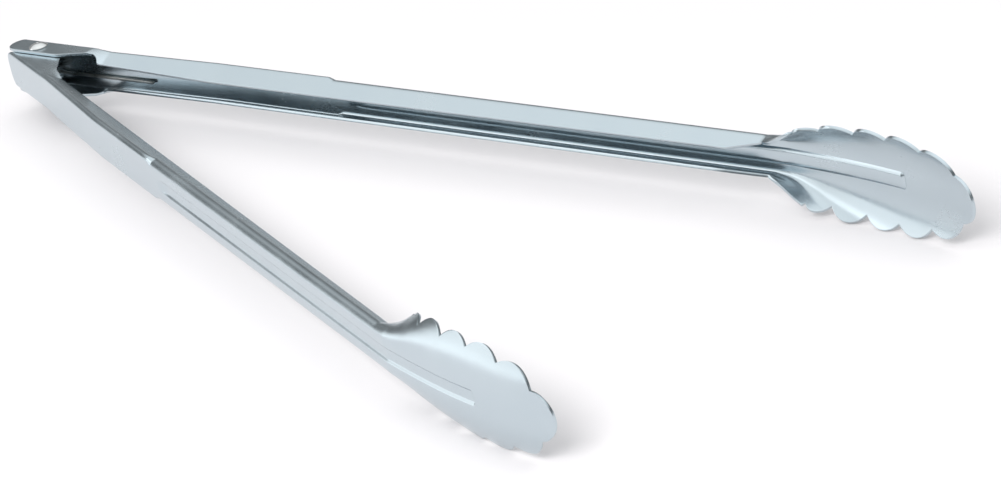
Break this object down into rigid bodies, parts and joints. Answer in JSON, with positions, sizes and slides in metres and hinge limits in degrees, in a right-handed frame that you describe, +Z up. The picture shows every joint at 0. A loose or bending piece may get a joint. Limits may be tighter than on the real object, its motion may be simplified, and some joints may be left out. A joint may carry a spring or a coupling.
{
  "type": "spring loaded kitchen tongs",
  "caption": "Long steel serving tongs: two channel arms with scalloped bowls turn on a domed rivet and are pushed open by a torsion spring.",
  "frame": {"origin": "middle of the footprint, on the surface that the widest scallops rest on as the tongs lie on their side, open", "axes": "+X from the hinge to the bowls along the line midway between the arms, +Z up along the hinge axis, +Y towards the outer arm"},
  "size_m": [0.4042, 0.1536, 0.0314],
  "materials": {
    "outer_arm_steel": "polished 18-8 stainless sheet, satin on the outside",
    "inner_arm_steel": "polished 18-8 stainless sheet, satin on the outside",
    "rivet_steel": "cold-headed stainless rivet, bright",
    "spring_wire": "hard-drawn stainless spring wire"
  },
  "bodies": {
    "outer": {"outer_arm": "outer_arm_steel", "pivot_rivet": "rivet_steel", "torsion_spring": "spring_wire"},
    "inner": {"inner_arm": "inner_arm_steel"}
  },
  "joints": [
    {"name": "pivot", "type": "hinge", "parent": "outer", "child": "inner", "pos_m": [-0.1885, 0.00167, 0.0157], "axis": [0, 0, 1], "range_deg": [0, 21], "stiffness_Nm_per_rad": 0.17, "springref_deg": -57.3, "deforming": ["torsion_spring"]}
  ]
}
